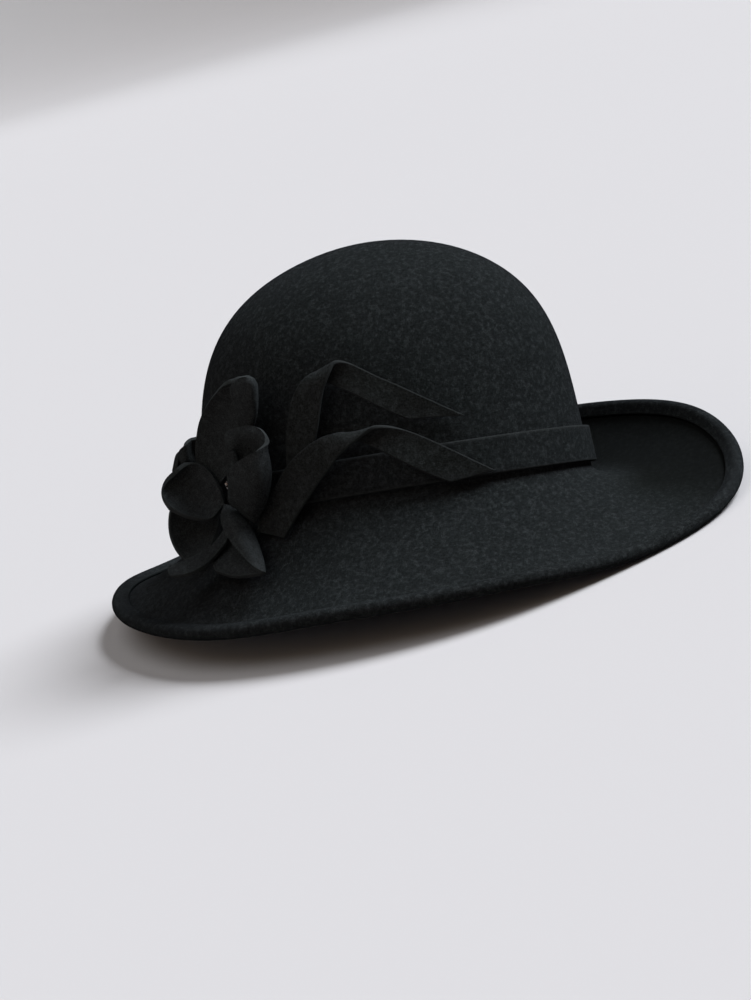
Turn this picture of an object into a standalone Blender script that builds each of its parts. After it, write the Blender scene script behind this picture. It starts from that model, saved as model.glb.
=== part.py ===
"""A felt hat with a wide brim, a flat band, two folded ribbons and a felt flower.

The pieces are shaped as the hat is worn: the crown's foot lies level at the origin, +Z is up, the front is
-Y and the wearer's left is +X. One empty then turns the whole hat to the way it rests on a table.
"""

import math
from collections import namedtuple

import bmesh
import bpy
import numpy as np
from mathutils import Matrix, Vector

# Felt and head
FELT = 0.0020
HEAD_LENGTH = 0.198
HEAD_WIDTH = 0.168
GAP = 0.0003

# Crown: a dome over the head's oval. SHOULDER and ROUND are the powers of its outline, and TAPER and LEAN are
# how much narrower and how much farther forward its top is.
CROWN_HEIGHT = 0.130
CROWN_SHOULDER = 4.2
CROWN_ROUND = 1.88
CROWN_TAPER = 0.084
CROWN_LEAN = 0.0026

# Brim and its rolled hem
BRIM_WIDTH = 0.073
BRIM_BEND = 0.0060
HEM_WIDTH = 0.0125
HEM_HEIGHT = 0.0064

# How deep the felt is pressed flat where the hat rests
REST_PRESS = 0.0012

# The brim all round, turning from the front over the wearer's left: its width as a share of BRIM_WIDTH, and
# its slope in degrees above level, at the crown and at the edge
BrimRow = namedtuple("BrimRow", "turn width inner_slope outer_slope")
BRIM = (
    BrimRow(0, 1.02, -22, -11),
    BrimRow(30, 1.00, 11, 26),
    BrimRow(60, 0.97, 24, 38),
    BrimRow(90, 0.99, 20, 31),
    BrimRow(120, 0.98, 6, 18),
    BrimRow(150, 0.97, -14, -5),
    BrimRow(180, 0.86, -31, -18),
    BrimRow(210, 0.91, -47, -36),
    BrimRow(240, 1.01, -54, -43),
    BrimRow(270, 0.99, -56, -44),
    BrimRow(300, 1.00, -54, -40),
    BrimRow(330, 0.98, -47, -39),
)

# Band at the crown's foot
BAND_WIDTH = 0.0180
BAND_THICK = 0.0030
BAND_RAISE = 0.0005

# Each ribbon rises along a leg, folds over a slanting crease and comes down as a tail. Lengths are shares of
# RIBBON_WIDTH, measured on the crown: the crease's middle along the foot from the wearer's right and above
# the foot, and how far the felt stands off the crown. Angles are in degrees above the foot's line.
RIBBON_WIDTH = 0.0160
RIBBON_THICK = 0.0018
RibbonRow = namedtuple(
    "RibbonRow",
    "name along up width heading crease bend leg tail cut radius tail_out root_out tail_lean tail_width",
)
RIBBONS = (
    RibbonRow("ribbon_upper", -0.66, 3.50, 1.0, 69, 19, 14, 2.7, 3.7, 30, 0.22, 0.24, 0.285, 32, 0.92),
    RibbonRow("ribbon_lower", 0.12, 1.58, 1.1, 34, -1, 6, 3.4, 3.3, 40, 0.26, 0.40, 0.52, 32, 0.94),
)
# Shares of a ribbon's width: the straight stretch before the crease, and the stretch over which a tail leans
RIBBON_STRAIGHT = 0.9
RIBBON_LEAN_REACH = 1.2
# Shares of a ribbon's leg: where its root starts to narrow, and by how much of its width
RIBBON_ROOT_START = 0.72
RIBBON_ROOT_NARROW = 0.5
# The power of the curve by which a leg comes down to its root
RIBBON_ROOT_CURVE = 2.2

# The flower's place on the band, along the foot from the wearer's right and up from the foot
FLOWER_ALONG = -0.0530
FLOWER_UP = 0.0150
BEAD = 0.0052

# The petals round the flower's axis. turn is the way a petal points, in degrees from forwards over up. length
# and width are shares of PETAL_REACH, and widest is how far along it the petal is that wide. lift and curl
# are degrees off the crown at the root and at the tip, cup is how far the margins bend up, roll_a and roll_b
# curl one margin each further, and twist turns the petal about its own line. skew shortens one margin and
# lengthens the other, level is the place in the stack of roots, and start is how far from the axis the petal
# begins, as a share of PETAL_REACH.
PETAL_THICK = 0.0018
PETAL_REACH = 0.050
PETAL_ROOT = 0.0035
PetalRow = namedtuple("PetalRow", "name turn length width widest lift curl cup roll_a roll_b twist skew level start")
PETALS = (
    PetalRow("petal_back", 150, 0.80, 0.56, 0.60, 4, 38, 8, 0, 0, 0, 0, 0, 0.05),
    PetalRow("petal_cup", 210, 0.98, 0.62, 0.60, 6, 54, 8, 0, 0, 0, 0, 1, 0.05),
    PetalRow("petal_top", 79, 1.04, 0.90, 0.60, 8, 8, 14, 0, 210, 0, 0, 1, 0.05),
    PetalRow("petal_strip", 242, 1.10, 0.38, 0.75, 13, 88, 10, 0, 0, 22, 0, 2.15, 0.05),
    PetalRow("petal_centre", 20, 0.76, 1.14, 0.60, 25, 104, 12, 235, 0, 0, 0.16, 2.15, 0.16),
    PetalRow("petal_right", 292, 0.99, 0.84, 0.85, 34, 13, 12, 95, 0, 0, 0, 3.3, 0.05),
    PetalRow("petal_left", 180, 0.85, 0.60, 0.60, 20, 36, 20, 0, 0, 0, 0, 4.4, -0.06),
)
# Shares of a petal's length: where it has its full cup, where it has its full lift, and where a rolled margin
# starts and is fully rolled
PETAL_CUPPED = 0.40
PETAL_LIFTED = 0.20
ROLL_START = 0.30
ROLL_END = 0.70
# The share of the half width that stays out of the roll, and the shape of the tip
ROLL_MARGIN = 0.40
TIP_CLOSED = 0.95
TIP_CURVE = 2.4

# Resolution
COLUMNS = 64
CROWN_RINGS = 11
CROWN_RING_CURVE = 1.7
BEND_RINGS = 3
BRIM_RINGS = 6
ROLL_RINGS = 6
FOLD_BACK_RINGS = 3
FOOT_STEPS = 720
LEG_STEPS = 6
CREASE_STEPS = 11
TAIL_STEPS = 8
RIBBON_COLUMNS = 3
PETAL_ROWS = 7
PETAL_COLUMNS = 10
PETAL_STEPS = 28

# Colours and finishes
FELT_COLOUR = (0.012, 0.013, 0.016)
FELT_ROUGHNESS = 0.95
BEAD_COLOUR = (0.004, 0.004, 0.005)
BEAD_ROUGHNESS = 0.15


def clear_scene():
    for old in list(bpy.data.objects):
        bpy.data.objects.remove(old, do_unlink=True)


def new_material(name, colour, roughness):
    material = bpy.data.materials.new(name)
    material.use_nodes = True
    shader = material.node_tree.nodes["Principled BSDF"]
    shader.inputs["Base Color"].default_value = (*colour, 1.0)
    shader.inputs["Roughness"].default_value = roughness
    shader.inputs["Metallic"].default_value = 0.0
    material.diffuse_color = (*colour, 1.0)
    return material


def heading(degrees):
    """A unit vector in a plane, turned from its first axis to its second."""
    return np.array([math.cos(math.radians(degrees)), math.sin(math.radians(degrees))])


def smooth_step(value):
    value = min(1.0, max(0.0, value))
    return value * value * (3 - 2 * value)


def spread(start, end, count):
    """Evenly spaced values after start, the last of them end."""
    return [start + (end - start) * step / count for step in range(1, count + 1)]


def brim_value(column, turn):
    """A column of BRIM at any turn in degrees, on a smooth closed curve through its rows."""
    step = 360 / len(BRIM)
    place = (turn % 360) / step
    first = int(place)
    share = place - first
    before, start, end, after = (
        getattr(BRIM[(first + offset) % len(BRIM)], column) for offset in (-1, 0, 1, 2)
    )
    tangent_start = (end - before) / 2
    tangent_end = (after - start) / 2
    share2, share3 = share**2, share**3
    return (
        (2 * share3 - 3 * share2 + 1) * start
        + (share3 - 2 * share2 + share) * tangent_start
        + (3 * share2 - 2 * share3) * end
        + (share3 - share2) * tangent_end
    )


def foot_point(turn, grow=0.0):
    """A point of the head's oval, grown outwards by grow along its own axes, in degrees from the front."""
    angle = math.radians(turn)
    return np.array(
        [
            (HEAD_WIDTH / 2 + grow) * math.sin(angle),
            -(HEAD_LENGTH / 2 + grow) * math.cos(angle),
            0.0,
        ]
    )


def foot_normal(turn, grow=FELT):
    """The level direction that points straight out of the crown's foot."""
    angle = math.radians(turn)
    outward = np.array(
        [
            math.sin(angle) / (HEAD_WIDTH / 2 + grow),
            -math.cos(angle) / (HEAD_LENGTH / 2 + grow),
            0.0,
        ]
    )
    return outward / np.linalg.norm(outward)


def crown_point(turn, rise, grow=FELT / 2):
    """A point of the crown, rise being its share of the crown's height and grow its distance from the head."""
    rise = min(1.0, max(0.0, rise))
    dome = max(0.0, 1 - rise**CROWN_SHOULDER) ** (1 / CROWN_ROUND)
    point = foot_point(turn, grow) * (1 - CROWN_TAPER * rise) * dome
    lean = np.array([0.0, -CROWN_LEAN * rise**2, 0.0])
    up = np.array([0.0, 0.0, (CROWN_HEIGHT - FELT + grow) * rise])
    return point + lean + up


def crown_rises():
    """The rings' heights as shares, close together where the dome turns over."""
    rises = []
    for ring in range(CROWN_RINGS):
        angle = math.pi / 2 * (1 - ring / CROWN_RINGS) ** CROWN_RING_CURVE
        rises.append(math.sin(angle) ** (2 / CROWN_SHOULDER))
    return rises


def brim_line(turn):
    """The felt's middle from the crown's foot out to the hem's cut edge, as (outward, up) pairs."""
    slope_in = brim_value("inner_slope", turn)
    slope_out = brim_value("outer_slope", turn)
    roll_radius = (HEM_HEIGHT - FELT) / 2
    hem_back = HEM_WIDTH - HEM_HEIGHT / 2
    closing = math.degrees(math.asin((HEM_HEIGHT - 2 * FELT - GAP) / hem_back))
    flat = BRIM_WIDTH * brim_value("width", turn) - HEM_HEIGHT / 2
    turns = []
    bend = slope_in + 90
    for ring in range(BEND_RINGS):
        turns.append((-90 + bend * (ring + 0.5) / BEND_RINGS, BRIM_BEND * math.radians(bend) / BEND_RINGS))
    for ring in range(BRIM_RINGS):
        share = (ring + 0.5) / BRIM_RINGS
        turns.append((slope_in + (slope_out - slope_in) * share, flat / BRIM_RINGS))
    roll = 180 + closing
    for ring in range(ROLL_RINGS):
        turns.append((slope_out + roll * (ring + 0.5) / ROLL_RINGS, roll_radius * math.radians(roll) / ROLL_RINGS))
    for ring in range(FOLD_BACK_RINGS):
        turns.append((slope_out + roll, hem_back / FOLD_BACK_RINGS))
    points = [np.zeros(2)]
    for angle, length in turns:
        points.append(points[-1] + heading(angle) * length)
    return points


def grid_mesh(name, rows, closed=False, pole=None):
    """A sheet through rows of points. closed joins each row's ends, and pole closes the first row with a fan."""
    mesh = bpy.data.meshes.new(name)
    model = bmesh.new()
    lines = [[model.verts.new(point) for point in row] for row in rows]
    count = len(lines[0])
    for upper, lower in zip(lines, lines[1:]):
        for column in range(count if closed else count - 1):
            beside = (column + 1) % count
            model.faces.new((upper[column], lower[column], lower[beside], upper[beside]))
    if pole is not None:
        top = model.verts.new(pole)
        for column in range(count):
            model.faces.new((top, lines[0][column], lines[0][(column + 1) % count]))
    model.to_mesh(mesh)
    model.free()
    mesh.shade_smooth()
    return mesh


def felt_sheet(mesh, thickness, collection, parent):
    """An object whose mesh is the middle of a felt sheet of this thickness."""
    sheet = bpy.data.objects.new(mesh.name, mesh)
    collection.objects.link(sheet)
    sheet.data.materials.append(new_material(mesh.name + "_felt", FELT_COLOUR, FELT_ROUGHNESS))
    sheet.parent = parent
    wall = sheet.modifiers.new("wall", "SOLIDIFY")
    wall.thickness = thickness
    wall.offset = 0.0
    wall.use_even_offset = True
    wall.use_rim = True
    return sheet


def make_body(collection, parent):
    """Crown, brim and rolled hem, one piece of felt."""
    turns = [360 * column / COLUMNS for column in range(COLUMNS)]
    rows = [[crown_point(turn, rise) for turn in turns] for rise in crown_rises()[1:]]
    lines = [brim_line(turn) for turn in turns]
    for step in range(len(lines[0])):
        row = []
        for turn, line in zip(turns, lines):
            outward, up = line[step]
            row.append(foot_point(turn, FELT / 2) + foot_normal(turn) * outward + np.array([0, 0, up]))
        rows.append(row)
    mesh = grid_mesh("hat_body", rows, closed=True, pole=crown_point(0, 1.0))
    return felt_sheet(mesh, FELT, collection, parent)


def make_band(collection, parent):
    """The flat strip round the crown's foot."""
    turns = [360 * column / COLUMNS for column in range(COLUMNS)]
    grow = FELT + GAP + BAND_THICK / 2
    rows = []
    for share in (1.0, 0.5, 0.0):
        rise = (BAND_RAISE + BAND_WIDTH * share) / CROWN_HEIGHT
        rows.append([crown_point(turn, rise, grow) for turn in turns])
    mesh = grid_mesh("band", rows, closed=True)
    return felt_sheet(mesh, BAND_THICK, collection, parent)


def turn_at(along):
    """The turn of the place that lies this far along the foot from the wearer's right, forwards positive."""
    step = math.copysign(180 / FOOT_STEPS, along)
    turn = 270.0
    gone = 0.0
    last = foot_point(turn, FELT)
    while True:
        point = foot_point(turn + step, FELT)
        length = float(np.linalg.norm(point - last))
        if gone + length >= abs(along):
            return turn + step * (abs(along) - gone) / length
        turn += step
        gone += length
        last = point


def off_crown(along, up, out):
    """A point beside the crown: along its foot, up from it and out from its surface."""
    turn = turn_at(along)
    point = crown_point(turn, up / CROWN_HEIGHT, FELT)
    if up < 0:
        point = point + np.array([0.0, 0.0, up])
    return point + foot_normal(turn) * out


def ribbon_line(row, stops, width):
    """The middle of a ribbon laid out flat at each stop, and the way it runs there in degrees."""
    crease = np.array([row.along, row.up]) * RIBBON_WIDTH
    straight = -width * RIBBON_STRAIGHT
    reach = RIBBON_WIDTH * row.leg + straight
    line = {}
    position = crease
    last = 0.0
    for stop in reversed([stop for stop in stops if stop <= 0]):
        angle = row.heading + row.bend * max(0.0, (straight - stop) / reach)
        position = position + heading(angle) * (stop - last)
        last = stop
        line[stop] = (position, angle)
    for stop in [stop for stop in stops if stop > 0]:
        line[stop] = (crease + heading(row.heading) * stop, row.heading)
    return line


def ribbon_rows(row):
    """A strip folded over a slanting crease, as rows of points from its root to its cut tip."""
    width = RIBBON_WIDTH * row.width
    radius = RIBBON_WIDTH * row.radius
    tail_out = RIBBON_WIDTH * row.tail_out + RIBBON_THICK / 2
    crease_out = tail_out + 2 * radius
    root_out = RIBBON_WIDTH * row.root_out
    leg, tail = RIBBON_WIDTH * row.leg, RIBBON_WIDTH * row.tail
    wrap = math.pi * radius
    end = tail + wrap
    stops = [-leg] + spread(-leg, -leg / 3, LEG_STEPS) + spread(-leg / 3, width, CREASE_STEPS)
    stops += spread(width, end, TAIL_STEPS)
    line = ribbon_line(row, stops, width)
    crease = np.array([row.along, row.up]) * RIBBON_WIDTH
    across_crease = heading(row.crease + 90)
    rows = []
    for stop in stops:
        centre, angle = line[stop]
        side = heading(angle + 90)
        leg_share = max(0.0, -stop / leg)
        tail_share = smooth_step((stop - wrap / 2) / (width * RIBBON_LEAN_REACH))
        lean = math.radians(row.tail_lean) * tail_share
        root_end = smooth_step((leg_share - RIBBON_ROOT_START) / (1 - RIBBON_ROOT_START))
        narrow = 1 + (row.tail_width - 1) * tail_share - RIBBON_ROOT_NARROW * root_end
        end_share = max(0.0, stop - width) / (end - width)
        points = []
        for column in range(RIBBON_COLUMNS + 1):
            across = width * narrow * (0.5 - column / RIBBON_COLUMNS)
            slant = -across / math.tan(math.radians(row.cut)) * end_share
            flat = centre + side * across * math.cos(lean) + heading(angle) * slant
            beyond = float((flat - crease) @ across_crease)
            if beyond <= 0:
                out = crease_out + (root_out - crease_out) * leg_share**RIBBON_ROOT_CURVE
                folded = beyond
            elif beyond < wrap:
                out = tail_out + radius * (1 + math.cos(beyond / radius))
                folded = radius * math.sin(beyond / radius)
            else:
                out = tail_out
                folded = wrap - beyond
            out += (width * narrow / 2 - across) * math.sin(lean)
            along, up = flat + across_crease * (folded - beyond)
            points.append(off_crown(along, up, out))
        rows.append(points)
    return rows


def flower_frame():
    """The flower's origin on the band, and its forward, up and outward directions."""
    outward = foot_normal(turn_at(FLOWER_ALONG))
    up = np.array([0.0, 0.0, 1.0])
    forward = np.cross(up, outward)
    origin = off_crown(FLOWER_ALONG, FLOWER_UP, GAP + BAND_THICK)
    return origin, forward, up, outward


def level_height(level):
    """How far the underside of this level of the stack of roots lies above the band."""
    return GAP + level * (PETAL_THICK + GAP)


def petal_half_width(share, width, widest):
    """Half a petal's width at this share of its length: a narrow root, a round middle and a blunt tip."""
    if share < widest:
        return PETAL_ROOT + (width / 2 - PETAL_ROOT) * smooth_step(share / widest)
    closing = (share - widest) / (1 - widest)
    return width / 2 * math.sqrt(1 - TIP_CLOSED * closing**TIP_CURVE)


def petal_spine(row):
    """The line along a petal's middle, as (reach, height, lift) from root to tip, with a little spare."""
    reach = PETAL_REACH * row.start
    height = level_height(row.level) + PETAL_THICK / 2
    length = PETAL_REACH * row.length
    spine = []
    for step in range(2 * PETAL_STEPS + 1):
        share = step / PETAL_STEPS
        lift = math.radians(row.lift + (row.curl - row.lift) * share) * smooth_step(share / PETAL_LIFTED)
        spine.append((reach, height, lift))
        reach += math.cos(lift) * length / PETAL_STEPS
        height += math.sin(lift) * length / PETAL_STEPS
    return spine


def petal_rows(row):
    """A petal's sheet, as rows of points from root to tip."""
    origin, forward, up, outward = flower_frame()
    ahead, above = heading(row.turn)
    radial = forward * ahead + up * above
    sideways = np.cross(outward, radial)
    spine = petal_spine(row)
    cells = PETAL_COLUMNS // 2
    rows = []
    for step in range(PETAL_ROWS + 1):
        share = step / PETAL_ROWS
        half = petal_half_width(share, PETAL_REACH * row.width, row.widest)
        cupped = smooth_step(share / PETAL_CUPPED)
        rolled = smooth_step((share - ROLL_START) / (ROLL_END - ROLL_START))
        points = []
        for side, roll in ((-1, row.roll_b), (1, row.roll_a)):
            aside, raised = 0.0, 0.0
            line = []
            for cell in range(cells + 1):
                skewed = share * (1 - row.skew * side * cell / cells)
                reach, height, lift = spine[round(skewed * PETAL_STEPS)]
                normal = outward * math.cos(lift) - radial * math.sin(lift)
                centre = origin + radial * reach + outward * height
                line.append(centre + sideways * side * aside + normal * raised)
                middle = (cell + 0.5) / cells
                margin = smooth_step((middle - ROLL_MARGIN) / (1 - ROLL_MARGIN))
                bend = (row.cup * middle + row.twist * side) * cupped + roll * margin * rolled
                aside += math.cos(math.radians(bend)) * half / cells
                raised += math.sin(math.radians(bend)) * half / cells
            points = line[:0:-1] if side < 0 else points + line
        rows.append(points)
    return rows


def make_bead(collection, parent):
    """The small bead in the flower's throat."""
    origin, _, _, outward = flower_frame()
    top_level = max(row.level for row in PETALS) + 1
    height = level_height(top_level) + GAP + BEAD / 2
    bpy.ops.mesh.primitive_uv_sphere_add(
        segments=16, ring_count=10, radius=BEAD / 2, location=origin + outward * height
    )
    bead = bpy.context.object
    bead.name = "bead"
    bead.data.name = "bead"
    bead.data.shade_smooth()
    bead.data.materials.append(new_material("bead_glass", BEAD_COLOUR, BEAD_ROUGHNESS))
    for holder in list(bead.users_collection):
        holder.objects.unlink(bead)
    collection.objects.link(bead)
    bead.parent = parent
    return bead


def solid_shape(piece):
    """A piece's mesh as its modifiers leave it."""
    graph = bpy.context.evaluated_depsgraph_get()
    return bpy.data.meshes.new_from_object(piece.evaluated_get(graph))


def solid_points(piece):
    """The corners of a piece as its modifiers leave it, in the worn hat's frame."""
    shape = solid_shape(piece)
    points = [piece.matrix_basis @ corner.co for corner in shape.vertices]
    bpy.data.meshes.remove(shape)
    return points


def resting_turn(points):
    """The turn that brings the hat from the way it is worn to the way it rests by itself.

    It rests on the face of its hull that lies nearest to its centre, seen from below.
    """
    centre = sum(points, Vector()) / len(points)
    model = bmesh.new()
    for point in points:
        model.verts.new(point)
    bmesh.ops.convex_hull(model, input=model.verts)
    model.normal_update()
    below = [face for face in model.faces if face.normal.z < -0.7]
    nearest = min(below, key=lambda face: (face.verts[0].co - centre).dot(face.normal))
    turn = nearest.normal.rotation_difference(Vector((0, 0, -1))).to_matrix().to_4x4()
    model.free()
    return turn


def press_flat(body, placing):
    """Makes the body's wall real, and presses flat what would reach below the table."""
    shape = solid_shape(body)
    back = placing.inverted()
    for corner in shape.vertices:
        placed = placing @ corner.co
        if placed.z < 0:
            placed.z = 0.0
            corner.co = back @ placed
    body.modifiers.clear()
    body.data = shape
    shape.name = body.name


def main():
    clear_scene()
    hat = bpy.data.collections.new("felt_hat")
    bpy.context.scene.collection.children.link(hat)
    rest = bpy.data.objects.new("rest_pose", None)
    hat.objects.link(rest)
    body = make_body(hat, rest)
    pieces = [body, make_band(hat, rest)]
    for row in RIBBONS:
        pieces.append(felt_sheet(grid_mesh(row.name, ribbon_rows(row)), RIBBON_THICK, hat, rest))
    for row in PETALS:
        pieces.append(felt_sheet(grid_mesh(row.name, petal_rows(row)), PETAL_THICK, hat, rest))
    pieces.append(make_bead(hat, rest))
    bpy.context.view_layer.update()
    turn = resting_turn(solid_points(body))
    placed = [turn @ point for piece in pieces for point in solid_points(piece)]
    lows = [min(point[axis] for point in placed) for axis in range(3)]
    highs = [max(point[axis] for point in placed) for axis in range(3)]
    middle = Vector((-(lows[0] + highs[0]) / 2, -(lows[1] + highs[1]) / 2, -lows[2] - REST_PRESS))
    rest.matrix_world = Matrix.Translation(middle) @ turn
    press_flat(body, rest.matrix_world)


main()
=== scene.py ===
"""The looks of a charcoal felt hat: body with a rolled brim, band, two folded ribbons and a felt flower.

The pieces are shaped as the hat is worn, with the crown's foot level at the origin, the front at -Y and the
wearer's left at +X, and are then rotated to the way the hat rests by itself.
"""

from __future__ import annotations

import logging
import math
from dataclasses import dataclass
from enum import Enum

import bpy
import numpy as np
from mathutils import Matrix, Vector, noise

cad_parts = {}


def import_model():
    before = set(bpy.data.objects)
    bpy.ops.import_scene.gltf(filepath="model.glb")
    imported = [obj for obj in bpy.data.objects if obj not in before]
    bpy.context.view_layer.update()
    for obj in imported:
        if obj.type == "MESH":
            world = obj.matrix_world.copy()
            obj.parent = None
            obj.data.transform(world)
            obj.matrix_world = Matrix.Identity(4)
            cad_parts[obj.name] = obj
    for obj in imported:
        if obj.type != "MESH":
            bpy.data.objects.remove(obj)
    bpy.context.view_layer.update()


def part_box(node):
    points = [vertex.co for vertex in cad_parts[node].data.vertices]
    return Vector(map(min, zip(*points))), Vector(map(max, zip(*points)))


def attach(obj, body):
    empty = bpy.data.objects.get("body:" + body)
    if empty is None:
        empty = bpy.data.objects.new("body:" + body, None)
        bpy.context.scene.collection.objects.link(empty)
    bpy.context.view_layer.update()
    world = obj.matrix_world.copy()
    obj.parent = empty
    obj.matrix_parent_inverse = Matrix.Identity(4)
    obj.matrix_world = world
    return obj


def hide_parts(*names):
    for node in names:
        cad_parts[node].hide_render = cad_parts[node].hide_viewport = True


LOG = logging.getLogger("felt_hat")

IMAGE_WIDTH = 751
IMAGE_HEIGHT = 1000

Point = np.ndarray
Colour = tuple[float, float, float]


class Number:
    """A number in a material's nodes, which takes part in Python expressions."""

    def __init__(self, nodes: Nodes, socket: bpy.types.NodeSocket) -> None:
        """Wraps an output socket of a material's nodes."""
        self.nodes = nodes
        self.socket = socket

    def combine(self, operation: str, other: Number | float, swapped: bool = False) -> Number:
        """Adds a Math node for this number and another.

        Args:
            operation: the Math node's operation.
            other: the other number.
            swapped: whether the other number comes first.

        Returns:
            The Math node's result.
        """
        pair = (other, self) if swapped else (self, other)
        return self.nodes.number("ShaderNodeMath", {"operation": operation}, {0: pair[0], 1: pair[1]})

    def __add__(self, other: Number | float) -> Number:
        """This number plus another."""
        return self.combine("ADD", other)

    __radd__ = __add__

    def __sub__(self, other: Number | float) -> Number:
        """This number minus another."""
        return self.combine("SUBTRACT", other)

    def __rsub__(self, other: Number | float) -> Number:
        """Another number minus this one."""
        return self.combine("SUBTRACT", other, swapped=True)

    def __mul__(self, other: Number | float) -> Number:
        """This number times another."""
        return self.combine("MULTIPLY", other)

    __rmul__ = __mul__

    def __abs__(self) -> Number:
        """This number without its sign."""
        return self.nodes.number("ShaderNodeMath", {"operation": "ABSOLUTE"}, {0: self})

    def between(self, low: float, high: float) -> Number:
        """How far this number lies from one value to another, smoothed.

        Args:
            low: where the result is 0.
            high: where the result is 1.

        Returns:
            The result, kept from 0 to 1.
        """
        settings = {"interpolation_type": "SMOOTHSTEP", "clamp": True}
        return self.nodes.number("ShaderNodeMapRange", settings, {"Value": self, 1: low, 2: high})


class Nodes:
    """The nodes of one material."""

    def __init__(self, material: bpy.types.Material) -> None:
        """Takes over a material's node tree."""
        material.use_nodes = True
        self.tree = material.node_tree
        self.shader = self.tree.nodes["Principled BSDF"]

    def add(self, kind: str, settings: dict[str, object], values: dict[str | int, object]) -> bpy.types.Node:
        """Adds a node.

        Args:
            kind: the node's type.
            settings: the node's own properties, which are set first.
            values: what goes into its input sockets: plain values, numbers or output sockets.

        Returns:
            The new node.
        """
        node = self.tree.nodes.new(kind)
        for name, setting in settings.items():
            setattr(node, name, setting)
        for name, value in values.items():
            self.feed(node.inputs[name], value)
        return node

    def number(self, kind: str, settings: dict[str, object], values: dict[str | int, object]) -> Number:
        """Adds a node and returns its first output as a number."""
        return Number(self, self.add(kind, settings, values).outputs[0])

    def feed(self, socket: bpy.types.NodeSocket, value: object) -> None:
        """Links a socket or a number into an input, or sets the input's own value.

        Args:
            socket: the input.
            value: the number, output socket or plain value that goes into it.
        """
        if isinstance(value, Number):
            self.tree.links.new(value.socket, socket)
        elif isinstance(value, bpy.types.NodeSocket):
            self.tree.links.new(value, socket)
        else:
            socket.default_value = value

    def place(self) -> bpy.types.NodeSocket:
        """The point of the surface, in metres, on the piece itself."""
        return self.add("ShaderNodeTexCoord", {}, {}).outputs["Object"]

    def mark(self, name: str) -> Number:
        """A value that is noted on the piece's points."""
        node = self.add("ShaderNodeAttribute", {"attribute_name": name}, {})
        return Number(self, node.outputs["Fac"])

    def grain(self, scale: float, detail: float, distortion: float = 0.0, shift: float = 0.0) -> Number:
        """A cloudy pattern.

        Args:
            scale: the clouds in a metre.
            detail: how many finer layers lie on the first.
            distortion: how far the clouds are stirred.
            shift: how far the pattern is moved, so that two patterns don't coincide.

        Returns:
            The pattern, from 0 to 1.
        """
        moved = self.add("ShaderNodeMapping", {}, {"Vector": self.place(), "Location": (shift, shift, shift)})
        values = {"Vector": moved.outputs[0], "Scale": scale, "Detail": detail, "Distortion": distortion}
        return self.number("ShaderNodeTexNoise", {}, values)

    def mix(self, share: Number, first: object, second: object) -> bpy.types.NodeSocket:
        """A colour between two others.

        Args:
            share: how much of the second colour there is.
            first: the first colour.
            second: the second colour.

        Returns:
            The mixed colour.
        """
        node = self.add("ShaderNodeMix", {"data_type": "RGBA"}, {"Factor": share})
        self.feed(node.inputs[6], first)
        self.feed(node.inputs[7], second)
        return node.outputs[2]


def opaque(colour: Colour) -> tuple[float, float, float, float]:
    """A colour with its alpha."""
    return (*colour, 1.0)


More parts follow.
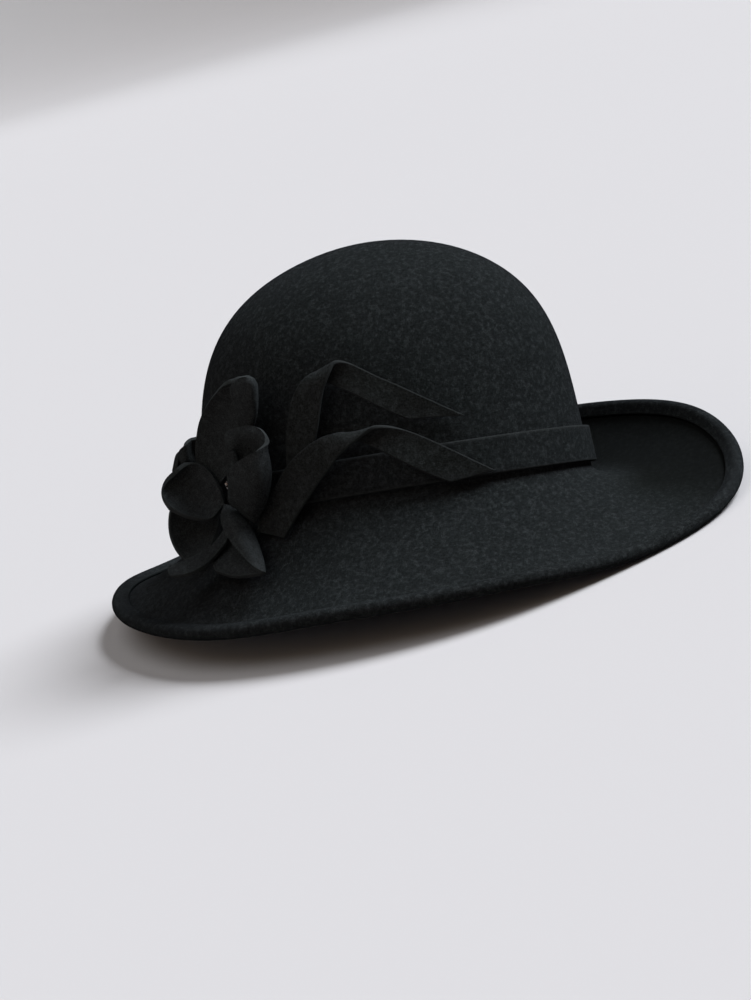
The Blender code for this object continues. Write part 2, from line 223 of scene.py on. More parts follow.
@dataclass(frozen=True)
class FeltFinish:
    """Wool felt: matted fibres, a soft nap, paler cut edges, and painted shade where a piece is marked for
    it.
    """

    name: str
    dark: Colour = (0.0025, 0.0025, 0.0024)
    pale: Colour = (0.0080, 0.0083, 0.0083)
    fibre: Colour = (0.0360, 0.0370, 0.0360)
    cut: Colour = (0.0115, 0.0117, 0.0112)
    # Painted shade: the dark colour laid on the upturned brim, standing in for the shade that falls there.
    painted_shade_tone: Colour = (0.0016, 0.0016, 0.0013)
    sheen: float = 0.003
    sheen_colour: Colour = (0.62, 0.70, 0.80)
    mat_scale: float = 1500.0
    hair_scale: float = 1500.0
    cloud_scale: float = 26.0
    patch_scale: float = 420.0
    hair_sharpness: float = 22.0
    long_hair_sharpness: float = 34.0
    roughness: float = 0.92
    sheen_roughness: float = 0.55
    bump: float = 0.0004
    # How strongly the painted shade darkens the felt's colour.
    painted_shade_depth: float = 0.80

    def material(self) -> bpy.types.Material:
        """Builds the felt's material.

        Returns:
            The new material.
        """
        material = bpy.data.materials.new(self.name)
        nodes = Nodes(material)
        cloud = nodes.grain(self.cloud_scale, 3.0)
        mat = nodes.grain(self.mat_scale, 2.0, distortion=0.8, shift=0.3)
        strands = nodes.grain(self.hair_scale, 1.0, distortion=2.2, shift=0.7)
        more_strands = nodes.grain(self.hair_scale * 0.6, 1.0, distortion=3.0, shift=1.9)
        hair = (1 - abs(strands - 0.5) * self.hair_sharpness).between(0.0, 1.0)
        long_hair = (1 - abs(more_strands - 0.5) * self.long_hair_sharpness).between(0.0, 1.0)
        thin_out = nodes.grain(self.patch_scale, 1.0, shift=2.7).between(0.42, 0.72)
        pale_share = (mat + cloud * 0.10 - 0.05).between(0.24, 0.76)
        ground = nodes.mix(pale_share, opaque(self.dark), opaque(self.pale))
        hairy = nodes.mix((hair * 0.30 + long_hair * 0.55) * thin_out, ground, opaque(self.fibre))
        at_edge = nodes.mark("cut_edge").between(0.25, 1.0)
        trimmed = nodes.mix(at_edge * (0.45 + mat * 0.5), hairy, opaque(self.cut))
        # Painted shade: the colour is darkened where the piece is marked for it, on the upturned brim.
        painted_shade_tone = nodes.mix(nodes.mark("brim_painted_shade") * self.painted_shade_depth, trimmed, opaque(self.painted_shade_tone))
        relief = mat * 0.7 + hair * 0.16 + long_hair * 0.22 + cloud * 0.4
        raised = nodes.add("ShaderNodeBump", {}, {"Strength": 0.8, "Distance": self.bump, "Height": relief})
        nodes.feed(nodes.shader.inputs["Base Color"], painted_shade_tone)
        nodes.feed(nodes.shader.inputs["Normal"], raised.outputs[0])
        nodes.shader.inputs["Roughness"].default_value = self.roughness
        nodes.shader.inputs["Specular IOR Level"].default_value = 0.0
        nodes.shader.inputs["Sheen Weight"].default_value = self.sheen
        nodes.shader.inputs["Sheen Roughness"].default_value = self.sheen_roughness
        nodes.shader.inputs["Sheen Tint"].default_value = opaque(self.sheen_colour)
        material.diffuse_color = opaque(self.pale)
        return material


@dataclass(frozen=True)
class BeadFinish:
    """Dark polished bead with a warm depth."""

    name: str
    dark: Colour = (0.004, 0.003, 0.003)
    warm: Colour = (0.060, 0.026, 0.012)
    cloud_scale: float = 900.0

    def material(self) -> bpy.types.Material:
        """Builds the bead's material.

        Returns:
            The new material.
        """
        material = bpy.data.materials.new(self.name)
        nodes = Nodes(material)
        cloud = nodes.grain(self.cloud_scale, 3.0, distortion=1.0)
        glass = nodes.mix(cloud.between(0.4, 0.7), opaque(self.dark), opaque(self.warm))
        nodes.feed(nodes.shader.inputs["Base Color"], glass)
        nodes.feed(nodes.shader.inputs["Roughness"], cloud * 0.10 + 0.06)
        nodes.shader.inputs["Coat Weight"].default_value = 0.8
        nodes.shader.inputs["Coat Roughness"].default_value = 0.04
        return material


@dataclass(frozen=True)
class StudioFinish:
    """Matte paint of the floor and the wall around it."""

    name: str
    floor: Colour = (0.203, 0.180, 0.171)
    wall: Colour = (0.370, 0.350, 0.343)
    wall_from: float = 0.9
    cloud_scale: float = 1.1
    cloud_height: float = 0.05

    def material(self) -> bpy.types.Material:
        """Builds the studio's material.

        Returns:
            The new material.
        """
        material = bpy.data.materials.new(self.name)
        nodes = Nodes(material)
        cloud = nodes.grain(self.cloud_scale, 2.0)
        place = nodes.add("ShaderNodeSeparateXYZ", {}, {"Vector": nodes.place()})
        height = Number(nodes, place.outputs["Z"]) + cloud * self.cloud_height
        paint = nodes.mix(height.between(0.0, self.wall_from), opaque(self.floor), opaque(self.wall))
        nodes.feed(nodes.shader.inputs["Base Color"], paint)
        nodes.shader.inputs["Roughness"].default_value = 0.95
        nodes.shader.inputs["Specular IOR Level"].default_value = 0.1
        return material


def smooth_step(value: float) -> float:
    """Rises from 0 to 1 with level ends."""
    value = min(1.0, max(0.0, value))
    return value * value * (3 - 2 * value)


def heading(degrees: float) -> Point:
    """A unit vector in a plane, turned from its first axis to its second."""
    return np.array([math.cos(math.radians(degrees)), math.sin(math.radians(degrees))])


def wander(point: Point, scale: float, shift: float = 0.0) -> float:
    """A smooth random number for a point.

    Args:
        point: the point.
        scale: the waves in a metre.
        shift: how far the pattern is moved.

    Returns:
        The number, from -1 to 1.
    """
    return noise.noise(Vector(point) * scale + Vector((shift, shift * 1.7, shift * 2.3)))


class Modelling:
    """The steps by which pieces are modelled."""

    @staticmethod
    def deselect() -> None:
        """Leaves nothing selected."""
        if bpy.context.object and bpy.context.object.mode != "OBJECT":
            bpy.ops.object.mode_set(mode="OBJECT")
        bpy.ops.object.select_all(action="DESELECT")

    @staticmethod
    def only(piece: bpy.types.Object) -> None:
        """Selects one piece and nothing else."""
        Modelling.deselect()
        piece.select_set(True)
        bpy.context.view_layer.objects.active = piece

    @staticmethod
    def cut_sheet(name: str, columns: int, rows: int) -> bpy.types.Object:
        """Adds a flat sheet, a metre square, divided into columns and rows.

        Args:
            name: the piece's name.
            columns: cells across.
            rows: cells along.

        Returns:
            The new piece.
        """
        Modelling.deselect()
        bpy.ops.mesh.primitive_grid_add(x_subdivisions=columns, y_subdivisions=rows, size=1.0)
        piece = bpy.context.object
        piece.name = name
        piece.data.name = name
        return piece

    @staticmethod
    def bend_sheet(piece: bpy.types.Object, points: np.ndarray) -> None:
        """Moves a flat sheet's points to where they belong.

        Args:
            piece: a sheet from cut_sheet.
            points: the new places, one row of points for each row of the sheet.
        """
        rows, columns = points.shape[0] - 1, points.shape[1] - 1
        for corner in piece.data.vertices:
            column = round((corner.co.x + 0.5) * columns)
            row = round((corner.co.y + 0.5) * rows)
            corner.co = points[row, column]
        piece.data.update()

    @staticmethod
    def mark(piece: bpy.types.Object, name: str, values: np.ndarray) -> None:
        """Notes a value from 0 to 1 at each point of a flat sheet, for the material.

        Args:
            piece: a sheet from cut_sheet.
            name: what the value is called.
            values: one row of values for each row of the sheet.
        """
        rows, columns = values.shape[0] - 1, values.shape[1] - 1
        layer = piece.data.attributes.new(name, "FLOAT", "POINT")
        for corner, item in zip(piece.data.vertices, layer.data):
            column = round((corner.co.x + 0.5) * columns)
            row = round((corner.co.y + 0.5) * rows)
            item.value = float(values[row, column])

    @staticmethod
    def merge_doubles(piece: bpy.types.Object, reach: float = 0.00002) -> None:
        """Joins the points that coincide, as along a sheet's closing seam.

        Args:
            piece: the piece to change.
            reach: how close two points have to be, in metres.
        """
        Modelling.only(piece)
        bpy.ops.object.mode_set(mode="EDIT")
        bpy.ops.mesh.select_all(action="SELECT")
        bpy.ops.mesh.remove_doubles(threshold=reach)
        bpy.ops.object.mode_set(mode="OBJECT")

    @staticmethod
    def finish(piece: bpy.types.Object, kind: str, **settings: object) -> None:
        """Adds a modifier and applies it.

        Args:
            piece: the piece to change.
            kind: the modifier's type.
            settings: the modifier's settings.
        """
        Modelling.only(piece)
        bpy.ops.object.modifier_add(type=kind)
        modifier = piece.modifiers[-1]
        for name, setting in settings.items():
            setattr(modifier, name, setting)
        bpy.ops.object.modifier_apply(modifier=modifier.name)

    @staticmethod
    def thicken(piece: bpy.types.Object, thickness: float, soften: float) -> None:
        """Gives a sheet its wall and softens its cut edges.

        Args:
            piece: the sheet.
            thickness: the wall, half on each side of the sheet.
            soften: the width of the rounding of the cut edges.
        """
        Modelling.finish(piece, "SOLIDIFY", thickness=thickness, offset=0.0, use_rim=True)
        Modelling.finish(
            piece, "BEVEL", width=soften, segments=2, limit_method="ANGLE", angle_limit=math.radians(50)
        )
        Modelling.only(piece)
        bpy.ops.object.mode_set(mode="EDIT")
        bpy.ops.mesh.select_all(action="SELECT")
        bpy.ops.mesh.normals_make_consistent(inside=False)
        bpy.ops.object.mode_set(mode="OBJECT")
        bpy.ops.object.shade_smooth()


@dataclass
class RestPose:
    """How the hat lies by itself: rotated from the way it is worn, and moved onto the floor."""

    lean: float = 16.58839
    dip: float = 2.30485
    shift: tuple[float, float, float] = (-0.0066389, 0.0064142, 0.0343071)

    def matrix(self) -> Matrix:
        """The placing of the resting hat.

        Returns:
            The matrix from the worn hat to the resting one.
        """
        up = Vector((-math.tan(math.radians(self.lean)), math.tan(math.radians(self.dip)), 1.0))
        turn = up.rotation_difference(Vector((0, 0, 1))).to_matrix().to_4x4()
        return Matrix.Translation(self.shift) @ turn

    def settle(self, piece: bpy.types.Object) -> None:
        """Turns a piece to the resting pose, and presses flat what would reach below the floor.

        Args:
            piece: the piece, shaped as the hat is worn.
        """
        piece.data.transform(self.matrix())
        for corner in piece.data.vertices:
            corner.co.z = max(0.0, corner.co.z)
        piece.data.update()


@dataclass(frozen=True)
class BrimPlace:
    """The brim at one place: its turn from the front, its width as a share, and its slopes in degrees."""

    turn: float
    width: float
    inner_slope: float
    outer_slope: float


@dataclass
class HatShape:
    """The sizes of crown and brim, and the points on them as the hat is worn."""

    felt: float = 0.0020
    gap: float = 0.0003
    head_length: float = 0.198
    head_width: float = 0.168
    crown_height: float = 0.130
    crown_shoulder: float = 4.2
    crown_round: float = 1.88
    crown_taper: float = 0.084
    crown_lean: float = 0.0026
    brim_width: float = 0.073
    brim_bend: float = 0.0060
    hem_width: float = 0.0086
    hem_height: float = 0.0068
    brim: tuple[BrimPlace, ...] = (
        BrimPlace(0, 1.04, -34, 2),
        BrimPlace(30, 1.03, -2, 41),
        BrimPlace(60, 1.00, 14, 50),
        BrimPlace(90, 1.01, 10, 43),
        BrimPlace(120, 0.99, -1, 26),
        BrimPlace(150, 0.97, -17, -2),
        BrimPlace(180, 0.87, -36, -13),
        BrimPlace(210, 0.92, -54, -29),
        BrimPlace(240, 1.02, -62, -35),
        BrimPlace(270, 1.00, -64, -36),
        BrimPlace(300, 1.01, -64, -30),
        BrimPlace(330, 1.00, -61, -24),
    )

    def brim_value(self, column: str, turn: float) -> float:
        """One of the brim's values at any turn, on a smooth closed curve.

        Args:
            column: the value's name in the brim's table.
            turn: degrees from the front.

        Returns:
            The value there.
        """
        step = 360 / len(self.brim)
        place = (turn % 360) / step
        first = int(place)
        share = place - first
        before, start, end, after = (
            getattr(self.brim[(first + offset) % len(self.brim)], column) for offset in (-1, 0, 1, 2)
        )
        tangent_start = (end - before) / 2
        tangent_end = (after - start) / 2
        share2, share3 = share**2, share**3
        return (
            (2 * share3 - 3 * share2 + 1) * start
            + (share3 - 2 * share2 + share) * tangent_start
            + (3 * share2 - 2 * share3) * end
            + (share3 - share2) * tangent_end
        )

    def foot_point(self, turn: float, grow: float = 0.0) -> Point:
        """A point of the head's oval.

        Args:
            turn: degrees from the front.
            grow: how far the oval is grown outwards.

        Returns:
            The point, as the hat is worn.
        """
        angle = math.radians(turn)
        across = (self.head_width / 2 + grow) * math.sin(angle)
        along = -(self.head_length / 2 + grow) * math.cos(angle)
        return np.array([across, along, 0.0])

    def foot_normal(self, turn: float) -> Point:
        """The level direction that points straight out of the crown's foot.

        Args:
            turn: degrees from the front.

        Returns:
            The unit vector.
        """
        angle = math.radians(turn)
        across = math.sin(angle) / (self.head_width / 2 + self.felt)
        along = -math.cos(angle) / (self.head_length / 2 + self.felt)
        return np.array([across, along, 0.0]) / math.hypot(across, along)

    def crown_point(self, turn: float, rise: float, grow: float) -> Point:
        """A point of the crown.

        Args:
            turn: degrees from the front.
            rise: the share of the crown's height.
            grow: the distance from the head.

        Returns:
            The point, as the hat is worn.
        """
        rise = min(1.0, max(0.0, rise))
        dome = max(0.0, 1 - rise**self.crown_shoulder) ** (1 / self.crown_round)
        point = self.foot_point(turn, grow) * (1 - self.crown_taper * rise) * dome
        point[1] -= self.crown_lean * rise**2
        point[2] += (self.crown_height - self.felt + grow) * rise
        return point

    def off_crown_at(self, point: Point) -> float:
        """How far a point lies outside the crown, measured level.

        Args:
            point: the point, as the hat is worn.

        Returns:
            The distance, negative inside.
        """
        rise = min(0.95, max(0.0, point[2] / self.crown_height))
        dome = (1 - rise**self.crown_shoulder) ** (1 / self.crown_round)
        size = (1 - self.crown_taper * rise) * dome
        half_width = self.head_width / 2 + self.felt
        half_length = self.head_length / 2 + self.felt
        across = point[0] / (half_width * size)
        along = (point[1] + self.crown_lean * rise**2) / (half_length * size)
        share = math.hypot(across, along)
        steep = math.hypot(across / half_width, along / half_length)
        return (share - 1) * share * size / steep

    def turn_at(self, along: float) -> float:
        """The turn of a place on the crown's foot.

        Args:
            along: metres along the foot from the wearer's right, forwards positive.

        Returns:
            Degrees from the front.
        """
        step = math.copysign(0.25, along)
        turn = 270.0
        gone = 0.0
        last = self.foot_point(turn, self.felt)
        while True:
            point = self.foot_point(turn + step, self.felt)
            length = float(np.linalg.norm(point - last))
            if gone + length >= abs(along):
                return turn + step * (abs(along) - gone) / length
            turn += step
            gone += length
            last = point

    def off_crown(self, along: float, up: float, out: float) -> Point:
        """A point beside the crown.

        Args:
            along: metres along the crown's foot from the wearer's right, forwards positive.
            up: the height over the foot.
            out: the distance from the crown's surface.

        Returns:
            The point, as the hat is worn.
        """
        turn = self.turn_at(along)
        point = self.crown_point(turn, up / self.crown_height, self.felt)
        point[2] += min(0.0, up)
        return point + self.foot_normal(turn) * out


@dataclass
class HatBody:
    """Crown, brim and rolled hem, one piece of blocked felt."""

    shape: HatShape
    columns: int = 288
    crown_rings: int = 40
    bend_rings: int = 5
    brim_rings: int = 22
    roll_rings: int = 12
    back_rings: int = 7
    ring_crowding: float = 1.5
    unevenness: float = 0.0005
    uneven_waves: float = 18.0
    # Painted shade on the upturned brim: the turns from the front where it begins and ends, how far it fades
    # in and out, and the share of the brim over which it grows.
    shade_first_turn: float = -20.0
    shade_first_fade: float = 30.0
    shade_last_turn: float = 135.0
    shade_last_fade: float = 40.0
    shade_inner_share: float = 0.4
    soften: float = 0.0005

    def brim_line(self, turn: float) -> list[Point]:
        """The felt's middle from the crown's foot to the hem's cut edge.

        Args:
            turn: degrees from the front.

        Returns:
            Points as (outward, up) pairs.
        """
        shape = self.shape
        slope_in = shape.brim_value("inner_slope", turn)
        slope_out = shape.brim_value("outer_slope", turn)
        roll_radius = (shape.hem_height - shape.felt) / 2
        hem_back = shape.hem_width - shape.hem_height / 2
        closing = math.degrees(math.asin((shape.hem_height - 2 * shape.felt - shape.gap) / hem_back))
        flat = shape.brim_width * shape.brim_value("width", turn) - shape.hem_height / 2
        bend = slope_in + 90
        roll = 180 + closing
        turns = []
        for ring in range(self.bend_rings):
            length = shape.brim_bend * math.radians(bend) / self.bend_rings
            turns.append((-90 + bend * (ring + 0.5) / self.bend_rings, length))
        for ring in range(self.brim_rings):
            share = (ring + 0.5) / self.brim_rings
            turns.append((slope_in + (slope_out - slope_in) * share, flat / self.brim_rings))
        for ring in range(self.roll_rings):
            length = roll_radius * math.radians(roll) / self.roll_rings
            turns.append((slope_out + roll * (ring + 0.5) / self.roll_rings, length))
        for ring in range(self.back_rings):
            turns.append((slope_out + roll, hem_back / self.back_rings))
        points = [np.zeros(2)]
        for angle, length in turns:
            points.append(points[-1] + heading(angle) * length)
        return points

    def points(self) -> np.ndarray:
        """The sheet's points, from the crown's top to the hem's cut edge.

        Returns:
            One row of points for each ring.
        """
        turns = [360 * column / self.columns for column in range(self.columns + 1)]
        rows = []
        for ring in range(self.crown_rings):
            angle = math.pi / 2 * (1 - ring / self.crown_rings) ** self.ring_crowding
            rise = math.sin(angle) ** (2 / self.shape.crown_shoulder)
            rows.append([self.shape.crown_point(turn, rise, self.shape.felt / 2) for turn in turns])
        lines = [self.brim_line(turn) for turn in turns]
        for step in range(len(lines[0])):
            row = []
            for turn, line in zip(turns, lines):
                outward, up = line[step]
                foot = self.shape.foot_point(turn, self.shape.felt / 2)
                row.append(foot + self.shape.foot_normal(turn) * outward + np.array([0, 0, up]))
            rows.append(row)
        points = np.array(rows)
        for row in points[1:]:
            for place in row[:-1]:
                place[2] += self.unevenness * wander(place, self.uneven_waves)
            row[-1] = row[0]
        return points

    def brim_painted_shade(self, rows: int) -> np.ndarray:
        """How much painted shade darkens the felt: most in the upturned part of the brim, where it stands in
        for the shade that falls there.

        Args:
            rows: how many rows of points the body's sheet has.

        Returns:
            Values from 0 to 1, one row for each row of points.
        """
        values = np.zeros((rows, self.columns + 1))
        first = self.crown_rings + 1 + self.bend_rings
        for column in range(self.columns + 1):
            turn = (360 * column / self.columns + 90) % 360 - 90
            side = smooth_step((turn - self.shade_first_turn) / self.shade_first_fade)
            side *= smooth_step((self.shade_last_turn - turn) / self.shade_last_fade)
            for ring in range(self.brim_rings):
                outward = (ring + 1) / self.brim_rings
                values[first + ring, column] = side * smooth_step(outward / self.shade_inner_share)
        return values

    def build(self, rest: RestPose, finish: FeltFinish) -> bpy.types.Object:
        """Models the body.

        Args:
            rest: how the hat lies.
            finish: its felt.

        Returns:
            The finished piece.
        """
        points = self.points()
        rows, columns = points.shape[0] - 1, points.shape[1] - 1
        piece = Modelling.cut_sheet("felt_body", columns, rows)
        nearness = np.zeros(points.shape[:2])
        nearness[-1] = 1.0
        Modelling.mark(piece, "cut_edge", nearness)
        # Marks where painted shade darkens the body's colour, on the upturned brim.
        Modelling.mark(piece, "brim_painted_shade", self.brim_painted_shade(points.shape[0]))
        Modelling.bend_sheet(piece, points)
        Modelling.merge_doubles(piece)
        Modelling.thicken(piece, self.shape.felt, self.soften)
        rest.settle(piece)
        piece.data.materials.append(finish.material())
        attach(piece, "root")
        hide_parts("hat_body")
        return piece


@dataclass
class Band:
    """The flat felt strip round the crown's foot."""

    shape: HatShape
    width: float = 0.0180
    thickness: float = 0.0030
    raised: float = 0.0005
    columns: int = 288
    rows: int = 8
    soften: float = 0.0006

    def build(self, rest: RestPose, finish: FeltFinish) -> bpy.types.Object:
        """Models the band.

        Args:
            rest: how the hat lies.
            finish: its felt.

        Returns:
            The finished piece.
        """
        shape = self.shape
        grow = shape.felt + shape.gap + self.thickness / 2
        turns = [360 * column / self.columns for column in range(self.columns + 1)]
        heights = [self.raised + self.width * row / self.rows for row in range(self.rows + 1)]
        rises = [height / shape.crown_height for height in heights]
        points = np.array([[shape.crown_point(turn, rise, grow) for turn in turns] for rise in rises])
        piece = Modelling.cut_sheet("felt_band", self.columns, self.rows)
        nearness = np.zeros(points.shape[:2])
        nearness[0] = nearness[-1] = 1.0
        Modelling.mark(piece, "cut_edge", nearness)
        Modelling.bend_sheet(piece, points)
        Modelling.merge_doubles(piece)
        Modelling.thicken(piece, self.thickness, self.soften)
        rest.settle(piece)
        piece.data.materials.append(finish.material())
        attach(piece, "root")
        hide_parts("band")
        return piece


@dataclass
class FlowerPlace:
    """Where the flower sits on the band."""

    shape: HatShape
    along: float = -0.0530
    up: float = 0.0150
    band_thickness: float = 0.0030

    def plane(self) -> tuple[Point, Point]:
        """The plane that the flower is sewn to.

        Returns:
            A point of the plane and its outward direction.
        """
        outward = self.shape.foot_normal(self.shape.turn_at(self.along))
        origin = self.shape.off_crown(self.along, self.up, self.shape.gap + self.band_thickness)
        return origin, outward


@dataclass
class Camera:
    """The photograph's view of the worn hat: degrees from its right towards its front, and above."""

    azimuth: float = 15.0
    elevation: float = -3.36
    roll: float = -9.02
    distance: float = 1.2
    target: tuple[float, float, float] = (0.0, 0.0, 0.05)
    target_pixel: tuple[float, float] = (382.8, 397.6)
    focal_pixels: float = 2317.0
    sensor: float = 36.0

    def worn_matrix(self) -> Matrix:
        """The camera's placing.

        Returns:
            The camera's matrix as the hat is worn.
        """
        azimuth = math.radians(self.azimuth)
        elevation = math.radians(self.elevation)
        roll = math.radians(self.roll)
        back = Vector(
            (
                -math.cos(azimuth) * math.cos(elevation),
                -math.sin(azimuth) * math.cos(elevation),
                math.sin(elevation),
            )
        )
        level = (-back).cross(Vector((0, 0, 1))).normalized()
        rise = level.cross(-back)
        right = math.cos(roll) * level + math.sin(roll) * rise
        up = -math.sin(roll) * level + math.cos(roll) * rise
        place = Vector(self.target) + back * self.distance
        off_right = (self.target_pixel[0] - IMAGE_WIDTH / 2) / self.focal_pixels * self.distance
        off_up = (IMAGE_HEIGHT / 2 - self.target_pixel[1]) / self.focal_pixels * self.distance
        aim = Vector(self.target) - right * off_right - up * off_up
        back = (place - aim).normalized()
        right = up.cross(back).normalized()
        up = back.cross(right)
        matrix = Matrix((right, up, back)).transposed().to_4x4()
        matrix.translation = place
        return matrix

    def sight(self, x: float, y: float) -> tuple[Point, Point]:
        """Where the camera stands and looks for a pixel of the photograph.

        Args:
            x: the pixel's column.
            y: the pixel's row.

        Returns:
            The camera's place and the direction of its sight, as the hat is worn.
        """
        matrix = self.worn_matrix()
        ahead = Vector((x - IMAGE_WIDTH / 2, IMAGE_HEIGHT / 2 - y, -self.focal_pixels))
        return np.array(matrix.translation), np.array((matrix.to_3x3() @ ahead).normalized())

    def point_on(self, x: float, y: float, ground: Point, facing: Point) -> Point:
        """The point of a plane that shows at a pixel of the photograph.

        Args:
            x: the pixel's column.
            y: the pixel's row.
            ground: a point of the plane.
            facing: the plane's normal.

        Returns:
            The point, as the hat is worn.
        """
        place, ahead = self.sight(x, y)
        return place + ahead * float((ground - place) @ facing) / float(ahead @ facing)

    def build(self, rest: RestPose) -> bpy.types.Object:
        """Adds the camera.

        Args:
            rest: how the hat lies.

        Returns:
            The camera.
        """
        data = bpy.data.cameras.new("photo_camera")
        data.sensor_fit = "VERTICAL"
        data.sensor_height = self.sensor
        data.lens = self.sensor * self.focal_pixels / IMAGE_HEIGHT
        data.clip_start = 0.01
        data.clip_end = 50.0
        camera = bpy.data.objects.new("photo_camera", data)
        bpy.context.scene.collection.objects.link(camera)
        camera.matrix_world = rest.matrix() @ self.worn_matrix()
        bpy.context.scene.camera = camera
        return camera


@dataclass(frozen=True)
class Knot:
    """A point that formed felt passes through.

    x and y are its pixel in the photograph, and off is its distance in millimetres from what carries it.
    """

    x: float
    y: float
    off: float


Net = tuple[tuple[Knot, ...], ...]


def net(*rows: tuple[tuple[float, float, float], ...]) -> Net:
    """The net of knots that a piece is formed through.

    Args:
        rows: for each row of knots, their (x, y, off) values.

    Returns:
        The rows of knots.
    """
    return tuple(tuple(Knot(*values) for values in row) for row in rows)


def spline_weights(place: float, count: int) -> np.ndarray:
    """The share of each knot in a smooth curve through them.

    Args:
        place: how far along the curve, counted in knots.
        count: how many knots there are.

    Returns:
        One weight for each knot.
    """
    first = min(count - 2, max(0, int(place)))
    share = place - first
    share2, share3 = share**2, share**3
    basis = (
        (-share3 + 2 * share2 - share) / 2,
        (3 * share3 - 5 * share2 + 2) / 2,
        (-3 * share3 + 4 * share2 + share) / 2,
        (share3 - share2) / 2,
    )
    weights = np.zeros(count)
    for offset, weight in zip((-1, 0, 1, 2), basis):
        index = first + offset
        if index < 0:
            weights[0] += 2 * weight
            weights[1] -= weight
        elif index >= count:
            weights[-1] += 2 * weight
            weights[-2] -= weight
        else:
            weights[index] += weight
    return weights


@dataclass
class FormedFelt:
    """A piece cut from a flat felt sheet and formed by hand through a net of knots."""

    camera: Camera
    place: FlowerPlace
    name: str
    net: Net
    slot: str = "petal_felt"
    rests_on: str = "felt_band"
    tip_round: float = 0.0
    root_round: float = 0.0
    thickness: float = 0.0022
    rows: int = 48
    columns: int = 40
    wobble: float = 0.0004
    wobble_waves: float = 70.0
    soften: float = 0.0008

    def knot_point(self, knot: Knot) -> Point:
        """The knot's point, off the plane that the flower is sewn to.

        Args:
            knot: the knot.

        Returns:
            The point, as the hat is worn.
        """
        origin, outward = self.place.plane()
        return self.camera.point_on(knot.x, knot.y, origin + outward * knot.off / 1000, outward)

    def points(self) -> np.ndarray:
        """The sheet's points.

        Returns:
            One row of points for each place from root to tip.
        """
        net = np.array([[self.knot_point(knot) for knot in row] for row in self.net])
        knot_rows, knot_columns = net.shape[:2]
        points = np.zeros((self.rows + 1, self.columns + 1, 3))
        for column in range(self.columns + 1):
            across = column / self.columns
            weights = spline_weights(across * (knot_columns - 1), knot_columns)
            line = np.einsum("c,rcx->rx", weights, net)
            aside = abs(2 * across - 1) ** 3
            start = self.root_round * aside
            end = 1 - self.tip_round * aside
            for row in range(self.rows + 1):
                along = start + (end - start) * row / self.rows
                point = spline_weights(along * (knot_rows - 1), knot_rows) @ line
                points[row, column] = point
        for row in points:
            for point in row:
                ways = [wander(point, self.wobble_waves, shift) for shift in (0.0, 5.0, 9.0)]
                point += self.wobble * np.array(ways)
        return points

    def build(self, rest: RestPose, finish: FeltFinish) -> bpy.types.Object:
        """Models the piece.

        Args:
            rest: how the hat lies.
            finish: its felt.

        Returns:
            The finished piece.
        """
        points = self.points()
        piece = Modelling.cut_sheet("felt_" + self.name, points.shape[1] - 1, points.shape[0] - 1)
        nearness = np.zeros(points.shape[:2])
        nearness[0] = nearness[-1] = 1.0
        nearness[:, 0] = nearness[:, -1] = 1.0
        Modelling.mark(piece, "cut_edge", nearness)
        Modelling.bend_sheet(piece, points)
        Modelling.thicken(piece, self.thickness, self.soften)
        rest.settle(piece)
        piece.data.materials.append(finish.material())
        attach(piece, "root")
        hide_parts(self.name)
        return piece


@dataclass
class Petal(FormedFelt):
    """A petal of the flower."""


@dataclass
class Ribbon(FormedFelt):
    """A strip that rises along the crown, turns over and comes down again."""

    slot: str = "ribbon_felt"
    rows: int = 110
    columns: int = 16
    thickness: float = 0.0019
    wobble: float = 0.00025
    soften: float = 0.0005
    nearest: float = 1.0
    farthest: float = 1.25
    halvings: int = 40

    def knot_point(self, knot: Knot) -> Point:
        """The knot's point, off the crown.

        Args:
            knot: the knot.

        Returns:
            The point, as the hat is worn.
        """
        place, ahead = self.camera.sight(knot.x, knot.y)
        near, far = self.nearest, self.farthest
        for _ in range(self.halvings):
            middle = (near + far) / 2
            if self.place.shape.off_crown_at(place + ahead * middle) > knot.off / 1000:
                near = middle
            else:
                far = middle
        return place + ahead * near


@dataclass
class Bead:
    """The small drilled bead in the flower's throat."""

    size: float = 0.0052
    hole: float = 0.30
    depth: float = 0.0011

    def build(self, finish: BeadFinish) -> bpy.types.Object:
        """Models the bead where its solid is.

        Args:
            finish: its material.

        Returns:
            The finished piece.
        """
        low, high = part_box("bead")
        centre = (low + high) / 2
        Modelling.deselect()
        bpy.ops.mesh.primitive_uv_sphere_add(
            segments=48, ring_count=24, radius=self.size / 2, location=centre
        )
        piece = bpy.context.object
        piece.name = "polished_bead"
        bpy.ops.object.transform_apply(location=True, rotation=True, scale=True)
        for way in (-1, 1):
            self.drill(piece, centre, way)
        Modelling.finish(
            piece, "BEVEL", width=0.0001, segments=2, limit_method="ANGLE", angle_limit=math.radians(40)
        )
        bpy.ops.object.shade_smooth()
        piece.data.materials.append(finish.material())
        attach(piece, "root")
        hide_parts("bead")
        return piece

    def drill(self, piece: bpy.types.Object, centre: Vector, way: int) -> None:
        """Sinks one end of the bead's hole.

        Args:
            piece: the bead.
            centre: its middle.
            way: 1 for the upper end, -1 for the lower.
        """
        for face in piece.data.polygons:
            face.select = False
        for face in piece.data.polygons:
            off = face.center - centre
            face.select = off.z * way > self.size / 2 * (1 - self.hole * 0.35)
        bpy.ops.object.mode_set(mode="EDIT")
        bpy.ops.mesh.select_mode(type="FACE")
        bpy.ops.mesh.extrude_region_move(TRANSFORM_OT_translate={"value": (0, 0, -way * self.depth)})
        bpy.ops.object.mode_set(mode="OBJECT")


